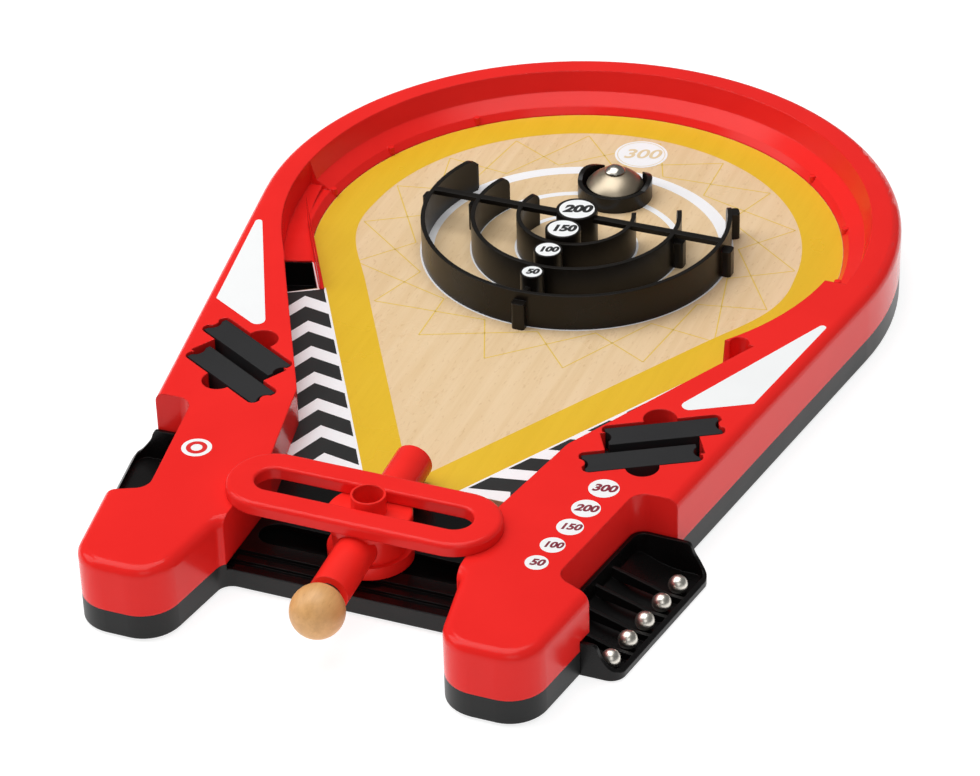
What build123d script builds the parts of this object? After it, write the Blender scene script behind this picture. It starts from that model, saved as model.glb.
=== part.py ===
from build123d import *
import os
from math import atan2, cos, degrees, hypot, pi, radians, sin, sqrt, tan

# Tabletop pinball game. Millimetres, +Z up, +Y to the back, +X to the right.
# It is modelled about the centre of its round end and moved at export,
# so that the origin lies under the middle of the whole toy.

# Overall size
overall_length = 456.0
overall_width = 291.2
side_taper = 9.4
foot_length = 44.6
foot_gap_front = 118.0
foot_gap_back = 103.0
foot_corner = 16.0
bay_corner = 6.0

# Heights
pad_height = 0.6
base_top = 12.3
board_thickness = 4.8
deck_top = 34.5
rim_edge = 4.5
bridge_thickness = 5.5

# Walls and clearances
base_wall = 2.6
gap = 0.3
running_fit = 0.05
press_gap = 0.02

# Round end of the housing, widths from the outside inwards
rim_wall = 13.1
rim_bank = 3.0
ledge_width = 7.0
lip_slope = 2.5
wing_edge_width = 2.0
ledge_height = 25.0
lip_height = 20.6
board_lap = 1.2
board_margin = 0.2
ledge_end_y = -17.5
tab_angles = (2.0, 23.5, 46.5, 133.5, 156.5, 178.0)
tab_radius = 1.5
tab_inset = 1.0
tab_foot = 0.6

# Wings beside the board; the second number is the distance behind the bay
wing_angle = 27.3
wing_bend_at = (60.3, 93.8)
wing_waist_at = (50.0, 43.8)
wing_bend_radius = 14.0
board_front_at = 69.8
step_y = -77.5
notch_at = (102.5, -77.0)
notch_radius = 4.2

# Return ramp and hole on the left, as points for an inner rim radius of drawn_rim
drawn_rim = 132.5
ramp_top_y = 3.0
ramp_top_z = 22.5
ramp_end_y = -53.0
ramp_inner_points = ((-126.5, 3.0), (-124.6, -12.0), (-121.0, -26.6))
hole_corners = ((-120.0, -55.2), (-107.9, -51.6), (-96.3, -71.9), (-107.8, -79.3))
low_wall_line = ((-115.7, -31.9), (-92.9, -71.7))
low_wall_width = 2.0
low_wall_slope = 1.1
low_wall_fall = (-45.0, -55.0)
low_wall_end = 0.6

# Bay floor and its slot; the first number is the distance behind the bay
bay_step_1_at = (10.3, 10.8)
bay_step_2_at = (5.3, 9.6)
slot_half = 46.7
lower_slot_width = 14.0
upper_slot_width = 15.0
bridge_half = 58.5
bridge_width = 37.5
bridge_edge = 2.2
slot_edge = 1.2

# Launcher, as it stands in its slot
launcher_x = 2.25
launcher_swing = 1.5
barrel_slope = 1.0
launcher_back = 24.3
drum_radius = 17.5
drum_top = 34.1
drum_plate = 4.0
drum_foot = 6.0
drum_waist = 2.2
collar_radius = 7.15
collar_top = 42.3
drop_hole_radius = 6.2
barrel_radius = 8.2
barrel_bore = 5.1
barrel_height = 25.0
muzzle_reach = 48.2
breech_reach = 43.6
shoe_length = 24.0
boss_radius = 5.0
shoe_flange = 1.2
washer_thickness = 1.2
washer_radius = 7.0

# Plunger
rod_radius = 2.2
knob_radius = 11.1
knob_reach = 55.1
knob_socket = 9.6
hammer_length = 3.0
hammer_reach = 6.2
bush_length = 4.0
spring_wire = 0.45
spring_radius = 3.7
spring_turns = 9

# Target
ring_radii = (70.0, 47.5, 27.0)
ring_tip_angles = (27.4, 27.6, 28.0)
ring_tip_rounding = (6.0, 5.0, 4.0)
ring_wall = 2.0
ring_height = 17.0
bar_width = 3.5
bar_height = 2.3
post_places = (-55.2, -35.6, -16.7, 1.1)
post_radii = (5.3, 6.4, 8.0, 9.4)
post_rise = 1.8
post_wall = 1.1
post_roof = 2.0
web_drop = 3.0
web_wall = 2.2
rib_width = 6.0
rib_depth = 4.0
rib_height = 12.9
rib_lag = 1.2

# Bell
bell_x = 1.0
bell_y = 48.3
cup_radius = 17.2
cup_wall = 2.2
cup_floor = 1.8
cup_front_height = 7.6
cup_ear_height = 9.4
cup_ear_tip = 6.6
cup_ear_places = (-5.0, 5.0, 13.6)
cup_open_angle = 38.0
dome_radius = 13.1
dome_height = 6.6
dome_wall = 0.8
dome_base = 6.5
bell_post_radius = 3.0
nut_radius = 4.8
nut_height = 2.4

# Side pockets, lane tray and return cup; places are distances behind the bay
pocket_depth = 17.25
pocket_rear_at = 71.6
pocket_front_at = 8.8
pocket_front_slope = 24.5
pocket_floor_z = 14.3
pocket_rounding = 7.0
tray_rounding = 6.5
tray_reach = 15.4
lane_count = 5
lane_pitch = 13.45
lane_wall = 1.6
tray_front_at = -5.6
tray_top = 16.5
tray_low = 8.0
tray_rim = 4.6
tray_floor = 1.6
tray_bottom = 0.5
floor_back_height = 9.5
floor_back_under = 7.5
floor_middle = (0.45, 4.3, 2.6)
floor_level = 10.0
end_wall_turn = (8.0, 12.0)
fin_back = (8.0, 13.5)
fin_middle = (14.0, 7.4)
fin_front = (9.0, 0.8)
flange_reach = 6.0
flange_half = 20.0
flange_height = 1.6
cup_reach = 10.8
cup_front_at = 7.8
ball_radius = 3.97
ball_gap = 0.08
ball_inset = 1.5

# Return chute under the left wing
chute_width = 11.0
chute_wall = 1.4
chute_head_z = 3.9
chute_end_z = 2.7
chute_end_x = -104.5
chute_collar_z = 16.0

# Spare bumpers and their recesses; places are distances behind the bay
bumper_angle = 29.6
bumper_places_at = ((93.8, 116.5), (91.5, 95.3))
bumper_length = 47.0
bumper_width = 11.8
bumper_height = 8.0
bumper_notch = 1.8
bumper_notch_radius = 4.4
bumper_top = 33.9
bumper_leg = 7.5
bumper_web = (8.0, 18.0)
bumper_lift = 0.3
recess_margin = 1.3
recess_floor_z = 18.0
recess_rounding = 3.0
finger_places_at = ((89.9, 123.6), (94.3, 88.9))
finger_radius = 7.0

# Fasteners
screw_radius = 1.4
screw_hole = 1.7
screw_head = 3.1
screw_head_height = 1.8
small_screw = 1.1
small_head = 2.4
screw_bite = 14.0
boss_outer = 4.6
pad_radius = 6.0
pad_depth = 1.2
pad_boss_wall = 1.4
pad_inset = 27.6
pad_angles = (40, 140)
foot_pad_at = (78.0, -30.2)
rib_wall = 2.0
rib_clearance = 1.4
rib_xs = (-96.0, -32.0, 32.0, 96.0)
rib_ys = (104.0, 40.0, -24.0, -88.0, -152.0)
bay_ribs_at = (47.8, -22.2)
slot_margin = 8.0
rim_screw_angles = (5, 50, 90, 130, 175)
rim_screw_inset = 7.0
wing_screw_at = (72.0, 60.8)
side_screw_y = -93.0
side_screw_inset = 10.2
foot_screw_at = (66.0, -26.2)
screw_recess = 4.0
target_screw_bite = 8.0
rib_screw_inset = 0.4
bridge_screw_at = (4.3, 7.5)
launcher_screw_length = 6.5
small_head_height = 1.4
driver_slot = (0.4, 0.8)
bridge_screw_length = 9.0
bridge_screw_depth = 6.0

# Derived values
rim_radius = overall_width / 2
rim_inner_radius = rim_radius - rim_wall
rim_foot_radius = rim_inner_radius - rim_bank
lip_radius = rim_foot_radius - ledge_width
board_opening_radius = lip_radius - lip_slope
wing_edge_radius = lip_radius + wing_edge_width
taper = radians(side_taper)
front_y = rim_radius - overall_length
bay_y = front_y + foot_length
shift_y = overall_length / 2 - rim_radius
board_top = base_top + board_thickness
base_deck = base_top - base_wall
board_front_y = bay_y + board_front_at
wing_bend = (wing_bend_at[0], bay_y + wing_bend_at[1])
wing_waist = (wing_waist_at[0], bay_y + wing_waist_at[1])
bay_step_1 = (bay_y + bay_step_1_at[0], bay_step_1_at[1])
bay_step_2 = (bay_y + bay_step_2_at[0], bay_step_2_at[1])
pocket_rear_y = bay_y + pocket_rear_at
pocket_front_inner = bay_y + pocket_front_at
cup_front_y = bay_y + cup_front_at
tray_front_y = bay_y + tray_front_at
tray_rear_y = pocket_rear_y - gap
bumper_places = [(x, bay_y + y) for x, y in bumper_places_at]
finger_places = [(x, bay_y + y) for x, y in finger_places_at]
rim_share = rim_inner_radius / drawn_rim
ramp_inner = [(x * rim_share, y * rim_share) for x, y in ramp_inner_points]
hole_points = [(x * rim_share, y * rim_share) for x, y in hole_corners]
low_wall_back, low_wall_front = [(x * rim_share, y * rim_share) for x, y in low_wall_line]
launcher_y = bay_y + launcher_back
shoe_z = base_deck - gap
high = 60.0
far = 400.0


def block(x0, x1, y0, y1, z0, z1):
    """A box from its limits."""
    return Pos((x0 + x1) / 2, (y0 + y1) / 2, (z0 + z1) / 2) * Box(x1 - x0, y1 - y0, z1 - z0)


def rod(radius, z0, z1, x=0.0, y=0.0):
    """An upright cylinder between two heights."""
    return Pos(x, y, (z0 + z1) / 2) * Cylinder(radius, z1 - z0)


def prism(points, z0, z1):
    """A polygon extruded between two heights."""
    return Pos(0, 0, z0) * extrude(make_face(Polyline(*points, close=True)), z1 - z0)


def flipped(shape):
    """The same shape on the other side of the toy."""
    return mirror(shape, about=Plane.YZ)


def side_x(reach, y):
    """Where a line along the right side, at a distance from the centre, passes a given y."""
    return (reach + y * sin(taper)) / cos(taper)


def wing_x(y):
    """The inner wall of a wing, tangent to the inner circle of the rim."""
    return (rim_inner_radius + y * sin(radians(wing_angle))) / cos(radians(wing_angle))


def save(name, shape):
    """One STEP file per piece, in the final frame."""
    solids = [Pos(0, shift_y, 0) * solid for solid in shape.solids()]
    placed = solids[0] if len(solids) == 1 else Compound(solids)
    placed.label = name
    export_step(placed, "parts/" + name + ".step")


def near(vertex, x, y):
    """Whether a vertex lies at a place in plan."""
    return hypot(abs(vertex.X) - x, vertex.Y - y) < 0.5


def shell_plan():
    """Plan of the toy: a round end, straight leaning sides and two feet."""
    side_top = (rim_radius * cos(taper), -rim_radius * sin(taper))
    toe = (side_x(rim_radius, front_y), front_y)
    heel = (foot_gap_front / 2, front_y)
    crotch = (foot_gap_back / 2, bay_y)
    left = [(-x, y) for x, y in (crotch, heel, toe, side_top)]
    line = Polyline(side_top, toe, heel, crotch, *left)
    arc = ThreePointArc(left[-1], (0, rim_radius), side_top)
    face = make_face([*line.edges(), arc])
    toes = [v for v in face.vertices() if near(v, *toe) or near(v, *heel)]
    face = fillet(toes, foot_corner)
    corners = [v for v in face.vertices() if near(v, *crotch)]
    return fillet(corners, bay_corner)


def turned(points):
    """A profile of (radius, height) points turned about the upright axis."""
    profile = Plane.XZ * make_face(Polyline(*points, close=True))
    return revolve(profile, Axis.Z)


def wedge_points(y_top, y_front, grow=0.0):
    """Half of the opening between the wings, from a given y to the bay."""
    points = [(wing_x(y_top) + grow, y_top), (wing_bend[0] + grow, wing_bend[1])]
    if y_front < wing_waist[1]:
        points.append((wing_waist[0] + grow, wing_waist[1]))
        points.append((wing_waist[0] + grow, y_front))
    else:
        share = (wing_bend[1] - y_front) / (wing_bend[1] - wing_waist[1])
        points.append((wing_bend[0] + grow + share * (wing_waist[0] - wing_bend[0]), y_front))
    return points


def wedge(z0, z1, y_front, grow=0.0):
    """The opening between the two wings."""
    right = wedge_points(step_y, y_front, grow)
    left = wedge_points(hole_points[3][1], y_front, grow)
    points = right + [(-x, y) for x, y in reversed(left)]
    points += [(low_wall_front[0] - grow, low_wall_front[1] + grow)]
    points += [(0, 0), (board_opening_radius * cos(radians(-40)), board_opening_radius * sin(radians(-40)))]
    body = prism(points, z0, z1)
    bends = [e for e in body.edges().filter_by(Axis.Z) if near(e @ 0, wing_bend[0] + grow, wing_bend[1])]
    return fillet(bends, wing_bend_radius)


def beside_low_wall(away):
    """Both ends of the foot line of the low wall, moved away from the board."""
    (x0, y0), (x1, y1) = low_wall_back, low_wall_front
    length = hypot(x1 - x0, y1 - y0)
    dx, dy = away * (y1 - y0) / length, away * (x0 - x1) / length
    return (x0 + dx, y0 + dy), (x1 + dx, y1 + dy)


def left_low_wall(grow=0.0):
    """What the low wall of the return ramp keeps from the round opening."""
    (x0, y0), (x1, y1) = beside_low_wall(-grow)
    return prism([(x0, y0), (x1, y1), (x1, -far), (-far, -far), (-far, y0)], 0, high)


def round_well(z0, z1, radius_low, radius_high, grow=0.0):
    """The round opening over the board, cut off by the low wall on the left."""
    body = turned([(0, z0), (radius_low, z0), (radius_high, z1), (0, z1)])
    if z0 < lip_height:
        body -= left_low_wall(grow)
    return body


def board_body(grow=0.0):
    """The playing board, lapped under the lip of the housing."""
    radius = board_opening_radius + board_lap + grow
    lap = board_lap + grow
    front = board_front_y - grow
    disc = round_well(base_top, board_top, radius, radius, -lap)
    return disc + wedge(base_top, board_top, front, lap)


def sector_below(y):
    """Everything in front of a line across the toy."""
    return block(-far, far, -far, y, -1, high)


def ledge_cut():
    """Room over the banked ledge inside the rim."""
    rise = (rim_inner_radius - rim_foot_radius) / (deck_top - ledge_height)
    over = rim_inner_radius + rise * (high - deck_top)
    room = turned([(0, lip_height), (lip_radius, lip_height), (rim_foot_radius, ledge_height),
                   (over, high), (0, high)])
    right = block(0, far, -far, ledge_end_y, -1, high)
    left = block(-far, 0, -far, ramp_top_y, -1, high)
    return room - right - left


def run_across(points):
    """A (y, height) profile run across the left half of the toy."""
    profile = Plane.YZ * make_face(Polyline(*points, close=True))
    return Pos(-far, 0, 0) * extrude(profile, far)


def ramp_cut():
    """The return ramp, down to its hole."""
    air = run_across([(ramp_top_y, ramp_top_z), (ramp_end_y, board_top), (-far, board_top), (-far, high),
                      (ramp_top_y, high)])
    start = (-sqrt(rim_inner_radius ** 2 - ramp_top_y ** 2), ramp_top_y)
    angle = radians(wing_angle)
    tangent = (-rim_inner_radius * cos(angle), -rim_inner_radius * sin(angle))
    half_way = (-rim_inner_radius * cos(angle / 2), -rim_inner_radius * sin(angle / 2))
    outer = ThreePointArc(start, half_way, tangent)
    wall_front = beside_low_wall(low_wall_width)[1]
    line = Polyline(tangent, hole_points[3], (wall_front[0], wall_front[1] - 0.4), ramp_inner[2])
    inner = ThreePointArc(*reversed(ramp_inner))
    plan = make_face([outer, *line.edges(), inner, Line(ramp_inner[0], start)])
    return extrude(plan, high) & air


def low_wall_cut():
    """Room over the low wall between the ramp and the board, and its slanted side."""
    inner = ThreePointArc(*ramp_inner)
    wall_front = beside_low_wall(low_wall_width)[1]
    line = Polyline(ramp_inner[2], wall_front, low_wall_front, (-board_opening_radius / 2, 0),
                    (-board_opening_radius / 2, ramp_inner[0][1]), ramp_inner[0])
    plan = extrude(make_face([inner, *line.edges()]), high)
    back, front = low_wall_fall
    end = board_top + low_wall_end
    air = run_across([(far, lip_height), (back, lip_height), (front, end), (-far, end), (-far, high),
                      (far, high)])
    x0, y0 = low_wall_back
    x1, y1 = low_wall_front
    length = hypot(x1 - x0, y1 - y0)
    lean = degrees(atan2(y1 - y0, x1 - x0))
    side = block(-1.0, length + 1, 0, 6, 0, 12)
    tilt = degrees(atan2(low_wall_slope, lip_height - board_top))
    return (plan & air) + Pos(x0, y0, board_top) * Rot(0, 0, lean) * Rot(tilt, 0, 0) * side


def pocket(depth, z0):
    """Side recess beside the lane tray, open to the side."""
    inner = rim_radius - depth
    x0 = side_x(inner, pocket_front_inner)
    x1 = side_x(inner, pocket_rear_y)
    out = 2 * depth + tray_reach
    y_out = pocket_front_inner - out * tan(radians(pocket_front_slope))
    points = [(x0, pocket_front_inner), (x0 + out, y_out), (x1 + out, pocket_rear_y), (x1, pocket_rear_y)]
    body = prism(points, z0, high)
    corners = [e for e in body.edges().filter_by(Axis.Z) if (e @ 0).X < x1 + 1]
    return fillet(corners, pocket_rounding)


def side_profile(points, y0, y1):
    """A (distance, height) profile run along the right side, between two values of y."""
    plane = Plane(origin=(0, 0, 0), x_dir=(cos(taper), -sin(taper), 0), z_dir=(-sin(taper), -cos(taper), 0))
    face = plane * make_face(Polyline(*points, close=True))
    return extrude(face, far, both=True) & block(0, far, y0, y1, -10, high)


def side_profile_face(edges, y0, y1):
    """The same, from edges that may be curved."""
    plane = Plane(origin=(0, 0, 0), x_dir=(cos(taper), -sin(taper), 0), z_dir=(-sin(taper), -cos(taper), 0))
    face = plane * make_face(edges)
    return extrude(face, far, both=True) & block(0, far, y0, y1, -10, high)


def end_wall_edges(inner, outer, bottom):
    """Outline of an end wall with the S-shaped top, from inner edge to outer rim."""
    mid = outer - end_wall_turn[0]
    low = outer - 1.5
    top = [(inner, bottom), (inner, tray_top)]
    edges = Polyline(*top, (mid - 3.0, tray_top - 0.5)).edges()
    edges += Spline((mid - 3.0, tray_top - 0.5), (mid, end_wall_turn[1]), (mid + 2.5, tray_low),
                    (low, tray_rim), tangents=[(1, -0.1), (1, -0.3)]).edges()
    edges += Polyline((low, tray_rim), (outer, tray_rim - 1.5), (outer, bottom), (inner, bottom)).edges()
    return edges


def floor_edges(inner, outer, bottom):
    """Floor that falls to the outside and then runs level."""
    flat = outer - lane_wall - floor_level
    share, over, under = floor_middle
    middle = inner + (flat - inner) * share
    edges = ThreePointArc((inner, floor_back_height), (middle, over), (flat, tray_floor)).edges()
    edges += Polyline((flat, tray_floor), (outer, tray_floor), (outer, bottom), (flat, bottom),
                      (middle, under), (inner, floor_back_under), (inner, floor_back_height)).edges()
    return edges


def rounded_limits(inner, outer, y0, y1, radius, top):
    """An upright block along the right side, with rounded corners."""
    body = side_profile([(inner, -2), (outer, -2), (outer, top), (inner, top)], y0, y1)
    return fillet(body.edges().filter_by(Axis.Z), radius)


def trough_room(y0, y1, reach, grow):
    """The space that a tray takes, with a margin."""
    inner = rim_radius - pocket_depth + gap - grow
    outer = rim_radius + reach + grow
    return rounded_limits(inner, outer, y0 - grow, y1 + grow, tray_rounding + grow, tray_top + grow)


def tray_room(grow):
    """Room for the lane tray."""
    return trough_room(tray_front_y, tray_rear_y, tray_reach, grow)


def cup_room(grow):
    """Room for the return cup, on the right; mirrored by the caller."""
    return trough_room(cup_front_y, tray_rear_y, cup_reach, grow)


def trough(y0, y1, reach, walls_at):
    """A rounded tray with a falling floor, a wall round it and cross walls."""
    inner = rim_radius - pocket_depth + gap
    outer = rim_radius + reach
    limits = rounded_limits(inner, outer, y0, y1, tray_rounding, high)
    inside = rounded_limits(inner + lane_wall, outer - lane_wall, y0 + lane_wall, y1 - lane_wall,
                            tray_rounding - lane_wall, high)
    body = side_profile_face(floor_edges(inner, outer, tray_bottom), y0, y1) & limits
    body += side_profile_face(end_wall_edges(inner, outer, tray_bottom), y0, y1) & (limits - inside)
    for y in walls_at:
        fin = [(inner, fin_back[0]), (outer - lane_wall, tray_bottom + 0.4), (outer - lane_wall, tray_rim),
               (outer - fin_front[0], tray_rim + fin_front[1]), (outer - fin_middle[0], fin_middle[1]),
               (inner, fin_back[1])]
        body += side_profile(fin, y, y + lane_wall)
    middle = (y0 + y1) / 2
    high_side = base_top + flange_height
    flange = [(inner - flange_reach, base_top), (inner + 0.5, base_top), (inner + 0.5, high_side),
              (inner - flange_reach, high_side)]
    return body + side_profile(flange, middle - flange_half, middle + flange_half)


def make_lane_tray():
    """Five ball lanes on the right."""
    walls = [tray_front_y + lane_pitch * k for k in range(1, lane_count)]
    return trough(tray_front_y, tray_rear_y, tray_reach, walls)


def make_return_cup():
    """The cup on the left that a ball rolls into, open to the chute at its rear."""
    cup = trough(cup_front_y, tray_rear_y, cup_reach, [])
    x = -chute_end_x
    mouth = block(x - chute_width / 2, x + chute_width / 2, tray_rear_y - 3, tray_rear_y + 3,
                  chute_end_z, base_top)
    return flipped(cup - mouth)


def chute_start():
    """Middle of the return hole."""
    xs = [p[0] for p in hole_points]
    ys = [p[1] for p in hole_points]
    return sum(xs) / 4, sum(ys) / 4


def chute_end():
    """Where the chute meets the rear wall of the return cup."""
    return chute_end_x, tray_rear_y + gap


def chute_solid(width, z_low, z_high, y_start):
    """A straight run from under the hole to the cup, with a falling floor."""
    x0, y0 = chute_start()
    x1, y1 = chute_end()
    drop = (chute_head_z - chute_end_z) / (y0 - y1)
    z_start = chute_head_z + (y_start - y0) * drop
    profile = [(y1, chute_end_z + z_low), (y_start, z_start + z_low), (y_start, z_start + z_high),
               (y1, chute_end_z + z_high)]
    face = Plane.YZ * make_face(Polyline(*profile, close=True))
    run = Pos(-far, 0, 0) * extrude(face, 2 * far)
    lean = (x1 - x0) / (y1 - y0)
    x_start = x0 + (y_start - y0) * lean
    half = width / 2
    plan = prism([(x_start - half, y_start), (x_start + half, y_start), (x1 + half, y1), (x1 - half, y1)],
                 -5, high)
    return run & plan


def head_points(grow):
    """The return hole, grown outwards by an even margin."""
    face = make_face(Polyline(*hole_points, close=True))
    return offset(face, grow, kind=Kind.INTERSECTION)


def chute_collar(grow):
    """The upper part of the chute's head, which lines the hole away from the board."""
    _, (x1, y1), (x2, y2), _ = hole_points
    length = hypot(x2 - x1, y2 - y1)
    ux, uy = (x2 - x1) / length, (y2 - y1) / length
    x3, y3 = x1 - uy * grow, y1 + ux * grow
    x4, y4 = x3 - 20 * ux, y3 - 20 * uy
    x5, y5 = x3 + 60 * ux, y3 + 60 * uy
    side = [(x4, y4), (x5, y5), (x5 + 60 * uy, y5 - 60 * ux), (x4 + 60 * uy, y4 - 60 * ux)]
    low = base_top - gap - 0.5
    body = Pos(0, 0, low) * extrude(head_points(chute_wall + grow), chute_collar_z + grow - low)
    return body & prism(side, 0, high)


def make_return_chute():
    """Trough that leads a returned ball under the wing to the cup."""
    x0, y0 = chute_start()
    outer = chute_width + 2 * chute_wall
    body = chute_solid(outer, -chute_wall, base_top, y0 - 8)
    head = Pos(0, 0, chute_head_z - chute_wall) * extrude(head_points(chute_wall), base_top)
    body += head
    body &= block(-far, 0, -far, far, 0, base_top - gap)
    body += chute_collar(0)
    room = board_body(gap)
    body -= room
    body -= Pos(0, 0, -gap) * room
    body -= Pos(0, 0, chute_head_z) * extrude(head_points(0), high)
    return body - chute_solid(chute_width, 0, base_top, y0)


def chute_room(grow):
    """Space for the chute in the base."""
    x0, y0 = chute_start()
    outer = chute_width + 2 * (chute_wall + grow)
    return chute_solid(outer, -20, base_top, y0 - 4) + extrude(head_points(chute_wall + grow), base_top)


def bumper_frame(place):
    """Position and turn of one spare bumper bar."""
    return Pos(place[0], place[1], 0) * Rot(0, 0, bumper_angle)


def end_rods(radius, z0, z1):
    """Upright cylinders at both ends of a bar, in its own frame."""
    x = bumper_length / 2 + bumper_notch_radius - bumper_notch
    return rod(radius, z0, z1, x, 0) + rod(radius, z0, z1, -x, 0)


def bumper_middle():
    """Midpoint between the two bars of a spare bumper."""
    (x0, y0), (x1, y1) = bumper_places
    return (x0 + x1) / 2, (y0 + y1) / 2


def bumper_reach():
    """Half the distance between the two bars."""
    (x0, y0), (x1, y1) = bumper_places
    return hypot(x0 - x1, y0 - y1) / 2


def make_bumper():
    """Two notched bars joined by two webs, lying in the right recess."""
    low = bumper_top - bumper_height
    floor = recess_floor_z + bumper_lift
    half = bumper_length / 2
    wide = bumper_width / 2
    near_end, far_end = bumper_web
    body = Part()
    for place in bumper_places:
        bar = block(-half, half, -wide, wide, low, bumper_top) - end_rods(bumper_notch_radius, 0, high)
        for x0, x1 in ((-far_end, -near_end), (near_end, far_end)):
            bar += block(x0, x1, 1.5 - wide, wide - 1.5, floor, low)
        body += bumper_frame(place) * bar
    for x0, x1 in ((-far_end, -near_end), (near_end, far_end)):
        web = block(x0, x1, -bumper_reach(), bumper_reach(), floor, recess_floor_z + bumper_leg)
        body += bumper_frame(bumper_middle()) * web
    return body


def recess_cut():
    """Recess for a spare bumper, with a tooth at each end and two finger notches."""
    body = Part()
    half = bumper_length / 2 + recess_margin
    wide = bumper_width / 2 + recess_margin
    for place in bumper_places:
        slot = block(-half, half, -wide, wide, recess_floor_z, high)
        slot = fillet(slot.edges().filter_by(Axis.Z), recess_rounding)
        slot -= end_rods(bumper_notch_radius - recess_margin, 0, high)
        body += bumper_frame(place) * slot
    reach = bumper_web[1] + recess_margin + 0.5
    middle = block(-reach, reach, -bumper_reach(), bumper_reach(), recess_floor_z, high)
    body += bumper_frame(bumper_middle()) * middle
    for x, y in finger_places:
        body += rod(finger_radius, recess_floor_z, high, x, y)
    return body


def housing_screw_places():
    """Where the housing is screwed to the base from below."""
    reach = rim_radius - rim_screw_inset
    ring = [(reach * cos(radians(a)), reach * sin(radians(a))) for a in rim_screw_angles]
    side = (side_x(rim_radius, side_screw_y) - side_screw_inset, side_screw_y)
    wings = [(wing_screw_at[0], bay_y + wing_screw_at[1]), side, (foot_screw_at[0], bay_y + foot_screw_at[1])]
    return ring + wings + [(-x, y) for x, y in wings]


def target_screw_places():
    """Screws that hold the target through the board."""
    outer = ring_radii[0] + rib_depth / 2 - rib_screw_inset
    return [(0, -outer), (outer, 0), (-outer, 0), (bell_x, bell_y)]


def bridge_screw_places():
    """Screws that hold the two ends of the bridge."""
    x, y = bridge_screw_at
    return [(side * (wing_waist[0] + x), launcher_y + step * y) for side in (-1, 1) for step in (-1, 1)]


def make_housing():
    """Glossy upper shell with rim, ledge, ramp, wings and recesses."""
    body = Pos(0, 0, base_top) * extrude(shell_plan(), deck_top - base_top)
    body = fillet(body.faces().sort_by(Axis.Z)[-1].outer_wire().edges(), rim_edge)
    body -= ledge_cut()
    body -= round_well(board_top, lip_height, board_opening_radius, lip_radius)
    body -= round_well(lip_height - 0.01, high, lip_radius, wing_edge_radius)
    body -= wedge(board_top, high, board_front_y)
    body -= wedge(-1, high, -far) & sector_below(board_front_y)
    body -= ramp_cut()
    body -= low_wall_cut()
    body -= prism(hole_points, 0, high)
    body -= chute_collar(gap)
    body -= rod(notch_radius, base_top, high, *notch_at)
    body -= board_body(board_margin) & block(-far, far, -far, far, 0, board_top)
    body -= pocket(pocket_depth, pocket_floor_z)
    body -= flipped(pocket(pocket_depth, pocket_floor_z))
    recess = recess_cut()
    body -= recess
    body -= flipped(recess)
    body -= tray_room(gap)
    body -= flipped(cup_room(gap))
    body -= flange_room(tray_front_y, tray_rear_y)
    body -= flipped(flange_room(cup_front_y, tray_rear_y))
    for angle in tab_angles:
        spot = Rot(0, 0, angle) * Pos(lip_radius - tab_inset, 0, 0)
        body += spot * rod(tab_radius, board_top + tab_foot, lip_height + tab_foot)
    for x, y in housing_screw_places():
        body -= rod(screw_radius, base_top, base_top + screw_bite, x, y)
    for x, y in bridge_screw_places():
        body -= rod(small_head + gap, -1, deck_top - bridge_screw_depth, x, y)
        body -= rod(small_screw, -1, high, x, y)
    return body


def flange_room(y0, y1):
    """Seat for the flange of a tray between base and housing."""
    inner = rim_radius - pocket_depth + gap
    back = inner - flange_reach - gap
    top = base_top + flange_height
    points = [(back, base_top - 1), (inner + 1.0, base_top - 1), (inner + 1.0, top), (back, top)]
    middle = (y0 + y1) / 2
    seat = side_profile(points, middle - flange_half - gap, middle + flange_half + gap)
    return seat & block(0, far, -far, far, base_top, high)


def make_base():
    """Lower shell: a skirt and a deck with ribs below, and the bay floor with its slot."""
    plan = shell_plan()
    body = Pos(0, 0, pad_height) * extrude(plan, base_top - pad_height)
    body = chamfer(body.faces().sort_by(Axis.Z)[0].outer_wire().edges(), 0.8)
    inner = offset(plan, -base_wall)
    body -= extrude(inner, base_deck)
    ribs = Part()
    half = rib_wall / 2
    low = pad_height + rib_clearance
    for x in rib_xs:
        ribs += block(x - half, x + half, front_y, rim_radius, low, base_deck)
    for y in [*rib_ys, *(bay_y + at for at in bay_ribs_at)]:
        ribs += block(-rim_radius, rim_radius, y - half, y + half, low, base_deck)
    ribs &= extrude(inner, base_deck)
    ribs -= block(-slot_half - slot_margin, slot_half + slot_margin, bay_y + 3, launcher_y + 22, -1, base_deck)
    body += ribs
    for x, y in housing_screw_places():
        body += rod(boss_outer, low, base_deck + 1, x, y)
    for x, y in pad_places():
        body += rod(pad_radius + pad_boss_wall, pad_height, base_deck + 1, x, y)
        body -= rod(pad_radius + 0.1, 0, pad_height + pad_depth, x, y)
    waist = wing_waist[0]
    heel = foot_gap_back / 2
    (y1, z1), (y2, z2) = bay_step_1, bay_step_2
    body -= block(-waist, waist, y2, y1, z1, high)
    body -= block(-heel, heel, bay_y - 1, y2, z2, high)
    body += block(-waist, waist, y2, y1, z1 - base_wall, z1)
    body += block(-heel, heel, bay_y + base_wall, y2, z2 - base_wall, z2)
    slot = SlotOverall(2 * slot_half, lower_slot_width)
    body -= Pos(0, launcher_y, 0) * extrude(slot, base_top + 1)
    for x, y in housing_screw_places():
        body -= rod(screw_hole, -1, base_top + 1, x, y)
        body -= rod(screw_head + gap, -1, pad_height + screw_recess, x, y)
    for x, y in target_screw_places():
        body -= rod(small_screw + 0.2, -1, base_top + 1, x, y)
    body -= tray_room(gap) & block(-far, far, -far, far, -2, base_top)
    body -= flipped(cup_room(gap)) & block(-far, far, -far, far, -2, base_top)
    return body - chute_room(gap)


def make_board():
    """Plywood playing board."""
    body = board_body()
    body -= prism(hole_points, 0, high)
    for x, y in target_screw_places():
        body -= rod(small_screw + 0.2, 0, high, x, y)
    return body


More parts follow.
